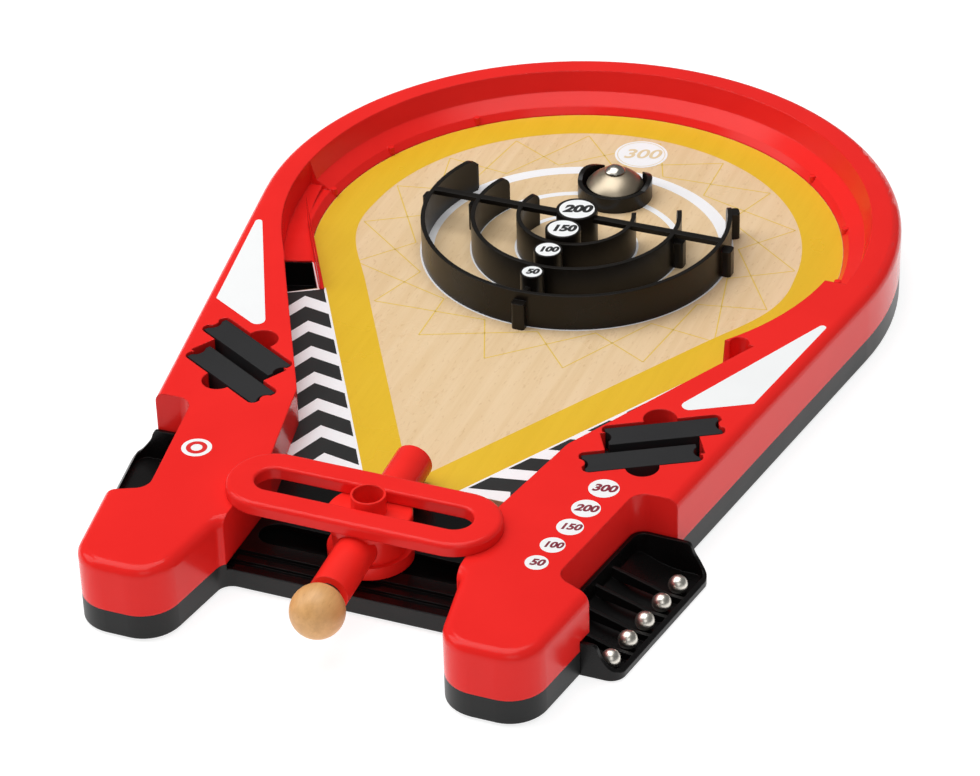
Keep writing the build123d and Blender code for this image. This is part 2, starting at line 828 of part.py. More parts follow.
def ring_body(radius, tip_angle, rounding):
    """A ring wall as a solid on the board, rounded at the top of its ends."""
    full = rod(radius, board_top, board_top + ring_height) - rod(radius - ring_wall, 0, high)
    half = radians(tip_angle)
    x, y = 2 * radius * cos(half), 2 * radius * sin(half)
    back = prism([(0, 0), (x, y), (x, 3 * radius), (-x, 3 * radius), (-x, y)], 0, high)
    body = full - back
    tips = [e for e in body.edges() if is_tip_edge(e)]
    return fillet(tips, rounding)


def is_tip_edge(edge):
    """The short top edge at the end of a ring wall."""
    a, b = edge @ 0, edge @ 1
    level = abs(a.Z - board_top - ring_height) < 0.01 and abs(b.Z - a.Z) < 0.01
    return level and a.Y > 1 and edge.length < ring_wall * 1.5


def screw_rib(x, y, angle):
    """Upright rib with a screw in it, outside a ring wall."""
    body = block(-1.0, rib_depth, -rib_width / 2, rib_width / 2, board_top, board_top + rib_height)
    tall = body.edges().filter_by(Axis.Z).group_by(Axis.X)[-1]
    body = fillet(tall, 1.4)
    return Pos(x, y, 0) * Rot(0, 0, angle) * body


def make_target():
    """Three ring walls, cross bar, centre web and the four number posts."""
    body = Part()
    for radius, angle, rounding in zip(ring_radii, ring_tip_angles, ring_tip_rounding):
        body += ring_body(radius, angle, rounding)
    top = board_top + ring_height
    reach = ring_radii[0] - ring_wall / 2
    body += block(-reach, reach, -bar_width / 2, bar_width / 2, top - bar_height, top)
    for y, radius in zip(post_places, post_radii):
        body += rod(radius, board_top, top + post_rise, 0, y)
    for y, radius in zip(post_places, post_radii):
        body -= rod(radius - post_wall, 0, top + post_rise - post_roof, 0, y)
    body += block(-web_wall / 2, web_wall / 2, 1 - ring_radii[0], post_places[3], board_top, top - web_drop)
    outer = ring_radii[0]
    lean = ring_tip_angles[0] - rib_lag
    body += screw_rib(0, -outer, -90)
    for angle in (0, 180, lean, 180 - lean):
        body += screw_rib(outer * cos(radians(angle)), outer * sin(radians(angle)), angle)
    for angle in (0, 180):
        body += screw_rib(ring_radii[1] * cos(radians(angle)), 0, angle)
    for x, y in target_screw_places()[:3]:
        body -= rod(small_screw, 0, board_top + target_screw_bite + 1, x, y)
    return body


def make_bell_cup():
    """Ring wall round the bell, rising to two rounded ears and open to the back."""
    body = rod(cup_radius, 0, cup_ear_height + 1)
    body -= rod(cup_radius - cup_wall, cup_floor, high)
    start, top, tip = cup_ear_places
    rise = ThreePointArc((start, cup_front_height), (top, cup_ear_height), (tip, cup_ear_tip))
    line = Polyline((tip, cup_ear_tip), (cup_radius + 1, cup_ear_tip), (cup_radius + 1, high), (-far, high),
                    (-far, cup_front_height), (start, cup_front_height))
    air = Plane.YZ * make_face([rise, *line.edges()])
    body -= extrude(air, far, both=True)
    wide = far * tan(radians(cup_open_angle))
    body -= prism([(0, 0), (wide, far), (-wide, far)], cup_floor, high)
    body += rod(bell_post_radius, cup_floor - 0.3, dome_base + dome_height - dome_wall - gap * 2)
    return Pos(bell_x, bell_y, board_top) * (body - rod(small_screw, -1, high))


def dome_profile(radius, rise):
    """Radius of the sphere of a shallow dome."""
    return (radius * radius + rise * rise) / (2 * rise)


def make_bell_dome():
    """Shallow metal bell on its post."""
    outer = dome_profile(dome_radius, dome_height)
    inner = dome_profile(dome_radius - dome_wall, dome_height - dome_wall)
    shell = Pos(0, 0, dome_height - outer) * Sphere(outer)
    shell -= Pos(0, 0, dome_height - dome_wall - inner) * Sphere(inner)
    shell &= rod(dome_radius + 1, 0, high)
    return Pos(bell_x, bell_y, board_top + dome_base) * (shell - rod(small_screw + 0.1, -1, high))


def make_bell_nut():
    """Domed cap nut that holds the bell."""
    sphere = dome_profile(nut_radius, nut_height)
    body = Pos(0, 0, nut_height - sphere) * Sphere(sphere)
    body &= rod(nut_radius, 0, high)
    return Pos(bell_x, bell_y, board_top + dome_base + dome_height) * body


def make_bridge():
    """Raised stadium with the long slot that guides the launcher."""
    plan = SlotOverall(2 * bridge_half, bridge_width)
    body = extrude(plan, bridge_thickness)
    body = fillet(body.faces().sort_by(Axis.Z)[-1].outer_wire().edges(), bridge_edge)
    body -= extrude(SlotOverall(2 * slot_half, upper_slot_width), bridge_thickness)
    inner = body.faces().sort_by(Axis.Z)[-1].inner_wires()[0].edges()
    body = fillet(inner, slot_edge)
    body = Pos(0, launcher_y, deck_top) * body
    for x, y in bridge_screw_places():
        body -= rod(small_screw, 0, deck_top + 3.6, x, y)
    return body


def at_launcher(shape):
    """Moves a shape from the origin to the pivot of the launcher."""
    return Pos(launcher_x, launcher_y, 0) * shape


def on_barrel(shape):
    """Moves a shape along +Y into the axis of the barrel."""
    aim = Rot(0, 0, launcher_swing) * Rot(barrel_slope, 0, 0)
    return Pos(launcher_x, launcher_y, barrel_height) * aim * shape


def along(radius, y0, y1):
    """A cylinder along the barrel axis between two reaches."""
    return on_barrel(Pos(0, (y0 + y1) / 2, 0) * Rot(90, 0, 0) * Cylinder(radius, y1 - y0))


def make_launcher_body():
    """Drum with its disc, collar and lower boss."""
    body = rod(drum_radius, base_top + gap, drum_top)
    body = fillet(body.edges().sort_by(Axis.Z)[-1], 1.0)
    waist = rod(drum_radius + 1, base_top + drum_foot, drum_top - drum_plate)
    body -= waist - rod(drum_radius - drum_waist, 0, high)
    body += rod(collar_radius, drum_top - 1, collar_top)
    body += rod(boss_radius, shoe_z - shoe_flange - gap, base_top + gap)
    body -= rod(drop_hole_radius, barrel_height, high)
    body -= rod(screw_radius, 0, base_top + 1)
    return at_launcher(body) - along(barrel_radius + running_fit, -far / 4, far / 4)


def make_barrel():
    """Barrel tube with the drop-in opening on its top."""
    body = along(barrel_radius, -breech_reach, muzzle_reach)
    body -= along(barrel_bore, -breech_reach - 1, muzzle_reach + 1)
    mouth = on_barrel(Pos(0, 0, 10) * Cylinder(barrel_bore - 0.3, 20))
    return body - mouth


def make_bush():
    """Guide for the plunger rod, pressed into the breech."""
    body = along(barrel_bore - press_gap, -breech_reach, -breech_reach + bush_length)
    return body - along(rod_radius + running_fit, -breech_reach - 1, -breech_reach + bush_length + 1)


def make_rod():
    """Plunger rod from the hammer to the knob."""
    return along(rod_radius, -knob_reach + knob_radius - knob_socket, -hammer_reach - hammer_length)


def make_hammer():
    """Head that strikes the ball."""
    body = along(barrel_bore - running_fit, -hammer_reach - hammer_length, -hammer_reach)
    return body


def make_knob():
    """Turned wooden ball."""
    body = on_barrel(Pos(0, -knob_reach, 0) * Sphere(knob_radius))
    hole = -knob_reach + knob_radius - knob_socket
    return body - along(rod_radius + press_gap, hole, 0)


def biarc(p0, t0, p1, t1):
    """Two arcs that join two points with given directions."""
    span = p1 - p0
    both = t0 + t1
    a = 2 * (1 - t0.dot(t1))
    reach = (-span.dot(both) + sqrt(span.dot(both) ** 2 + 2 * a * span.dot(span) / 2)) / a
    middle = (p0 + t0 * reach + p1 - t1 * reach) * 0.5
    first = TangentArc(p0, middle, tangent=t0)
    return [first, TangentArc(middle, p1, tangent=first % 1)]


def make_spring():
    """Compression spring as one helical tube, with its ends squared by half a turn."""
    y0 = -breech_reach + bush_length + spring_wire + 0.05
    y1 = -hammer_reach - hammer_length - spring_wire - 0.05
    pitch = (y1 - y0) / spring_turns
    steps = spring_turns * 2
    rise = pitch / (2 * pi * spring_radius)
    edges = []
    for k in range(steps):
        ends = []
        for turn in (k * pi, (k + 1) * pi):
            y = y0 + pitch * turn / (2 * pi)
            point = Vector(spring_radius * cos(turn), y, spring_radius * sin(turn))
            aim = Vector(-sin(turn), rise, cos(turn)).normalized()
            ends += [point, aim]
        edges += biarc(*ends)
    path = Wire(edges)
    section = Plane(origin=path @ 0, z_dir=path % 0) * Circle(spring_wire)
    print("spring: least gap between turns", round(pitch - 2 * spring_wire, 2), "mm")
    return on_barrel(sweep(section, path=path))


def make_shoe():
    """Slide shoe that runs in the lower slot and carries the launcher."""
    half = lower_slot_width / 2 - 2 * running_fit
    body = Pos(0, 0, shoe_z) * extrude(SlotOverall(shoe_length, 2 * half), base_top - shoe_z)
    reach, side = shoe_length / 2 + 2, half + 3
    body += block(-reach, reach, -side, side, shoe_z - shoe_flange, shoe_z)
    return at_launcher(body - rod(boss_radius + running_fit, 0, high))


def make_washer():
    """Washer under the slide shoe."""
    top = shoe_z - shoe_flange - gap
    return at_launcher(rod(washer_radius, top - washer_thickness, top) - rod(screw_hole, 0, high))


def screw(x, y, head_top, length, radius, head, height):
    """Pan head screw driven upwards."""
    body = rod(radius - press_gap, head_top - 0.5, head_top + length, x, y)
    body += rod(head, head_top - height, head_top, x, y)
    half, depth = driver_slot
    foot = head_top - height
    return body - block(x - head, x + head, y - half, y + half, foot - 1, foot + depth)


def make_launcher_screw():
    """Screw that holds washer and shoe to the launcher."""
    top = shoe_z - shoe_flange - gap - washer_thickness
    return screw(launcher_x, launcher_y, top, launcher_screw_length, screw_radius, screw_head,
                 screw_head_height)


def group(solids):
    """Separate solids kept in one node."""
    return Compound([s.solid() for s in solids])


def make_housing_screws():
    """Screws from the base into the housing."""
    top = pad_height + screw_recess
    length = base_top - top + screw_bite - 2
    return group([screw(x, y, top, length, screw_radius, screw_head, screw_head_height)
                  for x, y in housing_screw_places()])


def make_target_screws():
    """Screws through base and board into the target."""
    length = board_top - base_deck + target_screw_bite
    return group([screw(x, y, base_deck, length, small_screw, small_head, small_head_height)
                  for x, y in target_screw_places()])


def make_bridge_screws():
    """Screws up through the wings into the bridge."""
    top = deck_top - bridge_screw_depth
    return group([screw(x, y, top, bridge_screw_length, small_screw, small_head, small_head_height)
                  for x, y in bridge_screw_places()])


def pad_places():
    """Rubber pads under the skirt of the base."""
    reach = rim_radius - pad_inset
    x, y = foot_pad_at
    ring = [(reach * cos(radians(a)), reach * sin(radians(a))) for a in pad_angles]
    return ring + [(x, bay_y + y), (-x, bay_y + y)]


def make_pads():
    """Rubber pads, each on its own boss."""
    return group([rod(pad_radius, 0, pad_height + pad_depth, x, y) for x, y in pad_places()])


def make_ball(index):
    """One steel ball at the outer end of its lane."""
    y = tray_front_y + lane_wall / 2 + lane_pitch * (index + 0.5)
    reach = rim_radius + tray_reach - lane_wall - ball_radius - ball_inset
    return Pos(side_x(reach, y), y, tray_floor + ball_radius + ball_gap) * Sphere(ball_radius)


def main():
    """Writes every piece."""
    os.makedirs("parts", exist_ok=True)
    save("top_housing", make_housing())
    save("base_tray", make_base())
    save("playfield_board", make_board())
    save("target_rings", make_target())
    save("bell_cup", make_bell_cup())
    save("bell_dome", make_bell_dome())
    save("bell_nut", make_bell_nut())
    save("launcher_bridge", make_bridge())
    save("launcher_body", make_launcher_body())
    save("barrel_tube", make_barrel())
    save("barrel_bush", make_bush())
    save("plunger_rod", make_rod())
    save("hammer_tip", make_hammer())
    save("plunger_knob", make_knob())
    save("plunger_spring", make_spring())
    save("slide_shoe", make_shoe())
    save("slide_washer", make_washer())
    save("launcher_screw", make_launcher_screw())
    save("lane_tray", make_lane_tray())
    save("return_cup", make_return_cup())
    save("return_chute", make_return_chute())
    bumper = make_bumper()
    save("spare_bumper_right", bumper)
    save("spare_bumper_left", flipped(bumper))
    for index in range(lane_count):
        save("steel_ball_" + str(index + 1), make_ball(index))
    save("housing_screws", make_housing_screws())
    save("target_screws", make_target_screws())
    save("bridge_screws", make_bridge_screws())
    save("rubber_pads", make_pads())


main()
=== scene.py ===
import bpy
import math
from mathutils import Matrix, Vector


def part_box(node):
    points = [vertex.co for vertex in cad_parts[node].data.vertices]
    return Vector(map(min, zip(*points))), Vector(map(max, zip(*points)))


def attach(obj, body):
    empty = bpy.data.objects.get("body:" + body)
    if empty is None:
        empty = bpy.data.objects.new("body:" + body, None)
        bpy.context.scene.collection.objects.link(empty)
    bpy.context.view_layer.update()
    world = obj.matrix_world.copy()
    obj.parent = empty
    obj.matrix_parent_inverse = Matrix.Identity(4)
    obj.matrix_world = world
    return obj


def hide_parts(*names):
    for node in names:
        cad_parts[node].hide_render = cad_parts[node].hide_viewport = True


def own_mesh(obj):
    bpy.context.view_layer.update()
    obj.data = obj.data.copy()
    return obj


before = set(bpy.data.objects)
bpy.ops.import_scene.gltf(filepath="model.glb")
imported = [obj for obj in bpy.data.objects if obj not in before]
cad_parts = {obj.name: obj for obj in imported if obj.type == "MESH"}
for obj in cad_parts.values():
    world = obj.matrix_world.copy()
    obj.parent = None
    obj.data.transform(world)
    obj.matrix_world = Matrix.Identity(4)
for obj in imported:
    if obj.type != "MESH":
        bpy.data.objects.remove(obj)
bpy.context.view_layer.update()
print("frame loaded")

# Places and sizes are in millimetres from the centre of the round end,
# apart from the lengths that a note gives in metres.
housingLow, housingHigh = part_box("top_housing")
centreY = housingHigh.y - (housingHigh.x - housingLow.x) / 2
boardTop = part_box("playfield_board")[1].z * 1000
deckTop = housingHigh.z * 1000
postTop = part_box("target_rings")[1].z * 1000
white = (1, 1, 1, 1)


def spot(x, y, z):
    return Vector((x / 1000, y / 1000 + centreY, z / 1000))


def onCircle(radius, degrees):
    angle = math.radians(degrees)
    return (radius * math.cos(angle), radius * math.sin(angle))


def startMaterial(name):
    material = bpy.data.materials.new(name)
    material.use_nodes = True
    tree = material.node_tree
    return material, tree, tree.nodes["Principled BSDF"]


def setInputs(node, values):
    for label, value in values.items():
        node.inputs[label].default_value = value


# camera, at the photograph's angle; farthest is in metres
camera = {"lens": 130.35, "sensor": 36, "farthest": 20, "azimuth": 22.522, "elevation": 33.789,
          "roll": -1.661, "place": (486.288, -1279.707, 856.880)}


def makeCamera():
    azimuth, elevation, roll = (math.radians(camera[k]) for k in ("azimuth", "elevation", "roll"))
    back = Vector((math.sin(azimuth) * math.cos(elevation),
                   -math.cos(azimuth) * math.cos(elevation), math.sin(elevation)))
    level = Vector((math.cos(azimuth), math.sin(azimuth), 0))
    upright = back.cross(level)
    right = level * math.cos(roll) + upright * math.sin(roll)
    up = upright * math.cos(roll) - level * math.sin(roll)
    data = bpy.data.cameras.new("photoCamera")
    data.lens = camera["lens"]
    data.sensor_width = camera["sensor"]
    data.clip_end = camera["farthest"]
    obj = bpy.data.objects.new("photoCamera", data)
    turn = Matrix((right, up, back)).transposed().to_4x4()
    obj.matrix_world = Matrix.Translation(spot(*camera["place"])) @ turn
    bpy.context.scene.collection.objects.link(obj)
    bpy.context.scene.camera = obj


makeCamera()

# lights: a white room with soft boxes above and beside the toy, as name, place, size in metres
# and power in watts
studio = {"room": 0.16, "aim": (0, -60, 0),
          "boxes": [("topBox", (-300, -50, 1600), 1.6, 24.0),
                    ("leftBox", (-1500, -500, 1100), 1.1, 9.0),
                    ("frontBox", (900, -1700, 1300), 1.0, 4.8)]}


def makeLights():
    world = bpy.data.worlds.new("whiteRoom")
    world.use_nodes = True
    setInputs(world.node_tree.nodes["Background"], {"Color": white, "Strength": studio["room"]})
    bpy.context.scene.world = world
    for name, place, size, power in studio["boxes"]:
        data = bpy.data.lights.new(name, "AREA")
        data.shape = "SQUARE"
        data.size = size
        data.energy = power
        obj = bpy.data.objects.new(name, data)
        obj.location = spot(*place)
        aim = spot(*studio["aim"]) - obj.location
        obj.rotation_euler = aim.to_track_quat("-Z", "Y").to_euler()
        bpy.context.scene.collection.objects.link(obj)


# floor: a sheet of paper, its size in metres, that glows a little
paper = {"size": 12, "drop": 0.2, "color": (0.4, 0.4, 0.4), "roughness": 0.9, "glow": 0.80}


def makeFloor():
    bpy.ops.mesh.primitive_plane_add(size=paper["size"], location=(0, 0, -paper["drop"] / 1000))
    floor = bpy.context.object
    floor.name = "studioFloor"
    material, tree, shader = startMaterial("paper")
    setInputs(shader, {"Base Color": (*paper["color"], 1), "Roughness": paper["roughness"],
                       "Emission Color": white, "Emission Strength": paper["glow"]})
    floor.data.materials.append(material)


# painted shade: a dark sheet on the floor under the toy, standing in for its shadow, seen only
# through its slots, as half an outline
shade = {"drop": 0.1, "color": (0.004, 0.004, 0.004), "roughness": 1.0,
         "outline": [(54, -262), (58, -282), (64, -297), (71, -303), (81, -303), (88, -297),
                     (92, -284), (118, -110), (138, -22), (137, 40), (105, 93), (56, 128),
                     (0, 141)]}


def makeShade():
    half = shade["outline"]
    loop = half + [(-x, y) for x, y in half[-2::-1]]
    mesh = bpy.data.meshes.new("tableShade")
    mesh.from_pydata([spot(x, y, -shade["drop"]) for x, y in loop], [], [list(range(len(loop)))])
    patch = bpy.data.objects.new("tableShade", mesh)
    bpy.context.scene.collection.objects.link(patch)
    # the near-black colour of this sheet is painted shadow under the toy
    material, tree, shader = startMaterial("paintedShadowSheet")
    setInputs(shader, {"Base Color": (*shade["color"], 1), "Roughness": shade["roughness"]})
    mesh.materials.append(material)


makeLights()
makeFloor()
makeShade()
bpy.context.scene.view_settings.view_transform = "Standard"
print("studio made")


# shared effects
def newGroup(name, inputs, outputs):
    group = bpy.data.node_groups.new(name, "ShaderNodeTree")
    for label, value in inputs.items():
        socket = group.interface.new_socket(name=label, in_out="INPUT",
                                            socket_type="NodeSocketFloat")
        socket.default_value = value
    for label in outputs:
        group.interface.new_socket(name=label, in_out="OUTPUT", socket_type="NodeSocketFloat")
    return group, group.nodes.new("NodeGroupInput"), group.nodes.new("NodeGroupOutput")


def addNode(tree, kind, **settings):
    node = tree.nodes.new(kind)
    for key, value in settings.items():
        setattr(node, key, value)
    return node


def addSpread(tree, source, low, high, top=1.0):
    # stretches the part of a noise between low and high to the range from 0 to top
    spread = addNode(tree, "ShaderNodeMapRange", interpolation_type="SMOOTHSTEP")
    setInputs(spread, {"From Min": low, "From Max": high, "To Max": top})
    tree.links.new(source, spread.inputs["Value"])
    return spread


def addTones(tree, first, second, factor):
    # a colour between two others
    tones = addNode(tree, "ShaderNodeMix", data_type="RGBA")
    setInputs(tones, {"A": (*first, 1), "B": (*second, 1)})
    tree.links.new(factor, tones.inputs["Factor"])
    return tones


noiseMiddle = (0.3, 0.7)
skinDetail = {"grain": 3, "cloud": 4}


def makeMouldSkin():
    # fine grain of a moulded surface, with faint cloudy patches of gloss
    group, source, sink = newGroup("mouldSkin", {"Grain Size": 2500.0, "Cloud Size": 18.0,
                                                 "Gloss Low": 0.2, "Gloss High": 0.3},
                                   ("Height", "Roughness", "Cloud"))
    links = group.links
    place = addNode(group, "ShaderNodeTexCoord")
    grain = addNode(group, "ShaderNodeTexNoise")
    cloud = addNode(group, "ShaderNodeTexNoise")
    for noise, label, detail in ((grain, "Grain Size", skinDetail["grain"]),
                                 (cloud, "Cloud Size", skinDetail["cloud"])):
        noise.inputs["Detail"].default_value = detail
        links.new(place.outputs["Object"], noise.inputs["Vector"])
        links.new(source.outputs[label], noise.inputs["Scale"])
    gloss = addSpread(group, cloud.outputs["Fac"], *noiseMiddle)
    links.new(source.outputs["Gloss Low"], gloss.inputs["To Min"])
    links.new(source.outputs["Gloss High"], gloss.inputs["To Max"])
    links.new(grain.outputs["Fac"], sink.inputs["Height"])
    links.new(gloss.outputs["Result"], sink.inputs["Roughness"])
    links.new(cloud.outputs["Fac"], sink.inputs["Cloud"])
    return group


fibreDetail = {"fibre": 6, "fibreRoughness": 0.6, "pore": 2, "poreRoughness": 0.5,
               "poreRange": (0.6, 0.72)}


def addDrawnNoise(group, source, scales, detail, roughness):
    # a noise drawn out along the wood; scales names the input for each axis
    place = addNode(group, "ShaderNodeTexCoord")
    scale = addNode(group, "ShaderNodeCombineXYZ")
    stretch = addNode(group, "ShaderNodeVectorMath", operation="MULTIPLY")
    noise = addNode(group, "ShaderNodeTexNoise")
    setInputs(noise, {"Scale": 1, "Detail": detail, "Roughness": roughness})
    for axis, label in zip("XYZ", scales):
        group.links.new(source.outputs[label], scale.inputs[axis])
    group.links.new(place.outputs["Object"], stretch.inputs[0])
    group.links.new(scale.outputs["Vector"], stretch.inputs[1])
    group.links.new(stretch.outputs["Vector"], noise.inputs["Vector"])
    return noise


def makeFibre():
    # long wood fibres with darker pores
    group, source, sink = newGroup("woodFibre", {"Length Scale": 12.0, "Cross Scale": 260.0,
                                                 "Pore Scale": 900.0}, ("Fibre", "Pore"))
    fibre = addDrawnNoise(group, source, ("Cross Scale", "Length Scale", "Cross Scale"),
                          fibreDetail["fibre"], fibreDetail["fibreRoughness"])
    pore = addDrawnNoise(group, source, ("Pore Scale", "Cross Scale", "Pore Scale"),
                         fibreDetail["pore"], fibreDetail["poreRoughness"])
    narrow = addSpread(group, pore.outputs["Fac"], *fibreDetail["poreRange"])
    group.links.new(fibre.outputs["Fac"], sink.inputs["Fibre"])
    group.links.new(narrow.outputs["Result"], sink.inputs["Pore"])
    return group


mouldSkin = makeMouldSkin()
woodFibre = makeFibre()

# what the finishes of a kind share; edge radii and the height of the grain are in metres
grainHeight = 0.0001
woodLook = {"edge": 0.0004, "poreTint": (0.72, 0.6, 0.45)}
metalLook = {"edge": 0.0003, "cloud": 160.0, "darkShare": 0.85}


def addSkin(tree, gloss, sizes):
    skin = addNode(tree, "ShaderNodeGroup", node_tree=mouldSkin)
    setInputs(skin, {"Gloss Low": gloss[0], "Gloss High": gloss[1], **sizes})
    return skin


def softEdges(tree, shader, height, strength, radius):
    # rounds sharp corners a little and adds the surface grain
    bevel = addNode(tree, "ShaderNodeBevel", samples=4)
    bevel.inputs["Radius"].default_value = radius
    bump = addNode(tree, "ShaderNodeBump")
    setInputs(bump, {"Strength": strength, "Distance": grainHeight})
    tree.links.new(bevel.outputs["Normal"], bump.inputs["Normal"])
    tree.links.new(height, bump.inputs["Height"])
    tree.links.new(bump.outputs["Normal"], shader.inputs["Normal"])


def mouldedPlastic(name, color, deep, gloss, grain=2500.0, strength=0.04, edge=0.0005,
                   shine=0.35):
    material, tree, shader = startMaterial(name)
    skin = addSkin(tree, gloss, {"Grain Size": grain})
    spread = addSpread(tree, skin.outputs["Cloud"], *noiseMiddle)
    tones = addTones(tree, deep, color, spread.outputs["Result"])
    tree.links.new(tones.outputs["Result"], shader.inputs["Base Color"])
    tree.links.new(skin.outputs["Roughness"], shader.inputs["Roughness"])
    shader.inputs["Specular IOR Level"].default_value = shine
    softEdges(tree, shader, skin.outputs["Height"], strength, edge)
    return material


def woodInk(name, color, pale, gloss, fibreShare=0.5, poreShare=0.25,
            scales=(12.0, 260.0, 900.0), strength=0.08):
    # bare or printed wood: the fibre shows through
    material, tree, shader = startMaterial(name)
    fibre = addNode(tree, "ShaderNodeGroup", node_tree=woodFibre)
    setInputs(fibre, dict(zip(("Length Scale", "Cross Scale", "Pore Scale"), scales)))
    spread = addSpread(tree, fibre.outputs["Fibre"], *noiseMiddle, fibreShare)
    tones = addTones(tree, pale, color, spread.outputs["Result"])
    dark = addNode(tree, "ShaderNodeMix", data_type="RGBA", blend_type="MULTIPLY")
    dark.inputs["B"].default_value = (*woodLook["poreTint"], 1)
    share = addNode(tree, "ShaderNodeMath", operation="MULTIPLY")
    share.inputs[1].default_value = poreShare
    skin = addSkin(tree, gloss, {})
    tree.links.new(fibre.outputs["Pore"], share.inputs[0])
    tree.links.new(share.outputs["Value"], dark.inputs["Factor"])
    tree.links.new(tones.outputs["Result"], dark.inputs["A"])
    tree.links.new(dark.outputs["Result"], shader.inputs["Base Color"])
    tree.links.new(skin.outputs["Roughness"], shader.inputs["Roughness"])
    softEdges(tree, shader, fibre.outputs["Fibre"], strength, woodLook["edge"])
    return material


def brightMetal(name, color, gloss, grain=1200.0, strength=0.05):
    material, tree, shader = startMaterial(name)
    skin = addSkin(tree, gloss, {"Grain Size": grain, "Cloud Size": metalLook["cloud"]})
    darker = [part * metalLook["darkShare"] for part in color]
    tones = addTones(tree, darker, color, skin.outputs["Cloud"])
    tree.links.new(tones.outputs["Result"], shader.inputs["Base Color"])
    tree.links.new(skin.outputs["Roughness"], shader.inputs["Roughness"])
    shader.inputs["Metallic"].default_value = 1
    softEdges(tree, shader, skin.outputs["Height"], strength, metalLook["edge"])
    return material


# what each finish looks like; edge is a radius in metres
plastics = {
    "shellRed": {"color": (0.89, 0.023, 0.019), "deep": (0.84, 0.020, 0.017),
                 "gloss": (0.13, 0.19), "edge": 0.0009, "shine": 0.18},
    "launcherRed": {"color": (0.95, 0.027, 0.020), "deep": (0.90, 0.023, 0.017),
                    "gloss": (0.16, 0.22), "shine": 0.24},
    "baseBlack": {"color": (0.020, 0.021, 0.021), "deep": (0.016, 0.016, 0.016),
                  "gloss": (0.34, 0.44), "grain": 1500.0, "strength": 0.12, "shine": 0.22},
    "targetBlack": {"color": (0.008, 0.006, 0.0045), "deep": (0.006, 0.005, 0.004),
                    "gloss": (0.26, 0.34), "shine": 0.28},
    "trayBlack": {"color": (0.005, 0.0045, 0.0045), "deep": (0.004, 0.0035, 0.0035),
                  "gloss": (0.22, 0.32), "shine": 0.25},
    "bumperGrey": {"color": (0.020, 0.020, 0.021), "deep": (0.016, 0.016, 0.017),
                   "gloss": (0.46, 0.56), "grain": 1800.0, "strength": 0.2, "shine": 0.25},
    "bushBlack": {"color": (0.02, 0.02, 0.02), "deep": (0.015, 0.015, 0.015),
                  "gloss": (0.4, 0.5)},
    "padRubber": {"color": (0.03, 0.03, 0.03), "deep": (0.02, 0.02, 0.02), "gloss": (0.7, 0.85),
                  "strength": 0.3},
    "stickerWhite": {"color": (0.94, 0.95, 0.95), "deep": (0.91, 0.92, 0.92),
                     "gloss": (0.3, 0.38), "strength": 0.02, "edge": 0.0001},
    "numberBlack": {"color": (0.02, 0.02, 0.02), "deep": (0.015, 0.015, 0.015),
                    "gloss": (0.35, 0.45), "edge": 0.0001},
    "numberMaroon": {"color": (0.26, 0.025, 0.045), "deep": (0.22, 0.02, 0.04),
                     "gloss": (0.35, 0.45), "edge": 0.0001},
    "markRed": {"color": (0.80, 0.03, 0.03), "deep": (0.74, 0.02, 0.02), "gloss": (0.3, 0.4),
                "edge": 0.0001},
}
woods = {
    "numberBeige": {"color": (0.78, 0.60, 0.36), "pale": (0.82, 0.66, 0.42), "gloss": (0.3, 0.4)},
    "boardBirch": {"color": (0.78, 0.555, 0.305), "pale": (0.86, 0.645, 0.40),
                   "gloss": (0.26, 0.36), "fibreShare": 0.8, "poreShare": 0.3},
    "inkYellow": {"color": (0.78, 0.485, 0.018), "pale": (0.82, 0.52, 0.024),
                  "gloss": (0.26, 0.36), "fibreShare": 0.7, "poreShare": 0.08},
    "inkWhite": {"color": (0.93, 0.93, 0.93), "pale": (0.96, 0.96, 0.98),
                 "gloss": (0.28, 0.38), "fibreShare": 0.5, "poreShare": 0.05},
    "inkBlack": {"color": (0.016, 0.016, 0.016), "pale": (0.022, 0.022, 0.022),
                 "gloss": (0.28, 0.38), "fibreShare": 0.5, "poreShare": 0.1},
    "inkPaleYellow": {"color": (0.80, 0.54, 0.08), "pale": (0.82, 0.57, 0.11),
                      "gloss": (0.26, 0.36), "fibreShare": 0.6, "poreShare": 0.1},
    "knobBeech": {"color": (0.66, 0.34, 0.12), "pale": (0.80, 0.44, 0.17), "gloss": (0.34, 0.44),
                  "fibreShare": 0.8, "poreShare": 0.35, "scales": (40.0, 300.0, 1400.0),
                  "strength": 0.06},
}
metals = {
    "bellNickel": {"color": (0.50, 0.42, 0.31), "gloss": (0.36, 0.44)},
    "nutChrome": {"color": (0.62, 0.58, 0.52), "gloss": (0.22, 0.30)},
    "ballSteel": {"color": (0.84, 0.80, 0.72), "gloss": (0.30, 0.38)},
    "rodSteel": {"color": (0.62, 0.62, 0.62), "gloss": (0.22, 0.34)},
    "screwZinc": {"color": (0.58, 0.58, 0.56), "gloss": (0.28, 0.4)},
}
finishes = {}
for makeFinish, looks in ((mouldedPlastic, plastics), (woodInk, woods), (brightMetal, metals)):
    for finishName, look in looks.items():
        finishes[finishName] = makeFinish(finishName, **look)

# the floor of the bay is painted darker, as painted shade under the bridge, and is glossier than
# the outside of the base
bayShadeAndGloss = {"half": 59.6, "front": -265.9, "back": -195.0, "above": 9.0,
            "color": (0.004, 0.0036, 0.0036), "roughness": 0.2}


